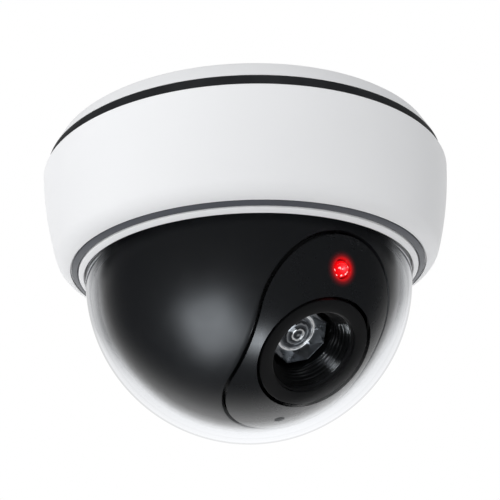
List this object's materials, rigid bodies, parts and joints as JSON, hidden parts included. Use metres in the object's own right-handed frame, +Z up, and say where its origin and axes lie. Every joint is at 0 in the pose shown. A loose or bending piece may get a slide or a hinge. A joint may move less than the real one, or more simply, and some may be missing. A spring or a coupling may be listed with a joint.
{
  "type": "dome cctv camera",
  "caption": "Ceiling dome camera: white twist-on housing, clear dome, black inner liner that turns to aim a recessed lens, and a small red lamp.",
  "frame": {"origin": "centre of the ceiling plate's flat face, where it meets the ceiling", "axes": "+Z up into the ceiling, along the axis of the dome; the lens faces -Y and 47 degrees down; +X to the right when looking along +Y"},
  "size_m": [0.1306, 0.1306, 0.0947],
  "materials": {
    "white_abs": "moulded white ABS, semi-gloss",
    "dark_rubber": "dark grey rubber, matt",
    "grey_abs": "moulded grey ABS, satin",
    "clear_polycarbonate": "clear moulded polycarbonate, polished",
    "black_abs": "moulded black ABS, fine texture",
    "satin_black_abs": "moulded black ABS, satin",
    "matt_black_abs": "moulded black ABS, matt",
    "zinc_steel": "zinc plated steel",
    "nickel_steel": "nickel plated spring steel",
    "black_rubber": "moulded black rubber",
    "cell_wrap": "printed film wrap, gloss",
    "board_green": "solder-masked glass-epoxy board",
    "chip_black": "moulded epoxy package",
    "capacitor_blue": "shrink sleeve, gloss",
    "resistor_tan": "lacquered ceramic",
    "lead_pvc": "PVC insulation, one colour for each lead",
    "chrome_cup": "vacuum-metallised plastic",
    "clear_acrylic": "clear moulded acrylic",
    "red_epoxy": "red diffused epoxy, lit",
    "sensor_epoxy": "photoresistor under clear epoxy"
  },
  "bodies": {
    "ceiling_plate": {"base_plate": "white_abs", "seal_ring": "dark_rubber"},
    "camera": {"housing": "white_abs", "accent_ring": "grey_abs", "dome_ring": "white_abs", "clear_dome": "clear_polycarbonate", "dome_clamp": "black_abs", "carrier_plate": "black_abs", "carrier_screws": "zinc_steel", "lead_grommet": "black_rubber", "battery_tray": "black_abs", "tray_screws": "zinc_steel", "battery_left": "cell_wrap", "battery_right": "cell_wrap", "contact_springs": "nickel_steel", "contact_plates": "nickel_steel", "circuit_board": "board_green", "board_screws": "zinc_steel", "flasher_chip": "chip_black", "capacitor": "capacitor_blue", "resistors": "resistor_tan", "switch_body": "zinc_steel", "battery_leads": "lead_pvc", "upper_leads": "lead_pvc"},
    "eye": {"liner": "satin_black_abs", "lens_panel": "satin_black_abs", "lens_bracket": "zinc_steel", "bracket_screws": "zinc_steel", "lens_bezel": "matt_black_abs", "lens_barrel": "matt_black_abs", "reflector": "chrome_cup", "lens_element": "clear_acrylic", "led": "red_epoxy", "led_holder": "black_abs", "light_sensor": "sensor_epoxy", "led_leads": "lead_pvc", "sensor_leads": "lead_pvc"},
    "door": {"battery_door": "black_abs"},
    "knob": {"switch_knob": "matt_black_abs"}
  },
  "joints": [
    {"name": "housing_twist", "type": "hinge", "parent": "ceiling_plate", "child": "camera", "pos_m": [0, 0, 0], "axis": [0, 0, -1], "range_deg": [0, 20]},
    {"name": "eye_pan", "type": "hinge", "parent": "camera", "child": "eye", "pos_m": [0, 0, -0.0433], "axis": [0, 0, 1], "range_deg": [-170, 170]},
    {"name": "door_slide", "type": "slide", "parent": "camera", "child": "door", "axis": [1, 0, 0], "range_m": [0, 0.008]},
    {"name": "knob_slide", "type": "slide", "parent": "camera", "child": "knob", "axis": [1, 0, 0], "range_m": [0, 0.002]}
  ]
}
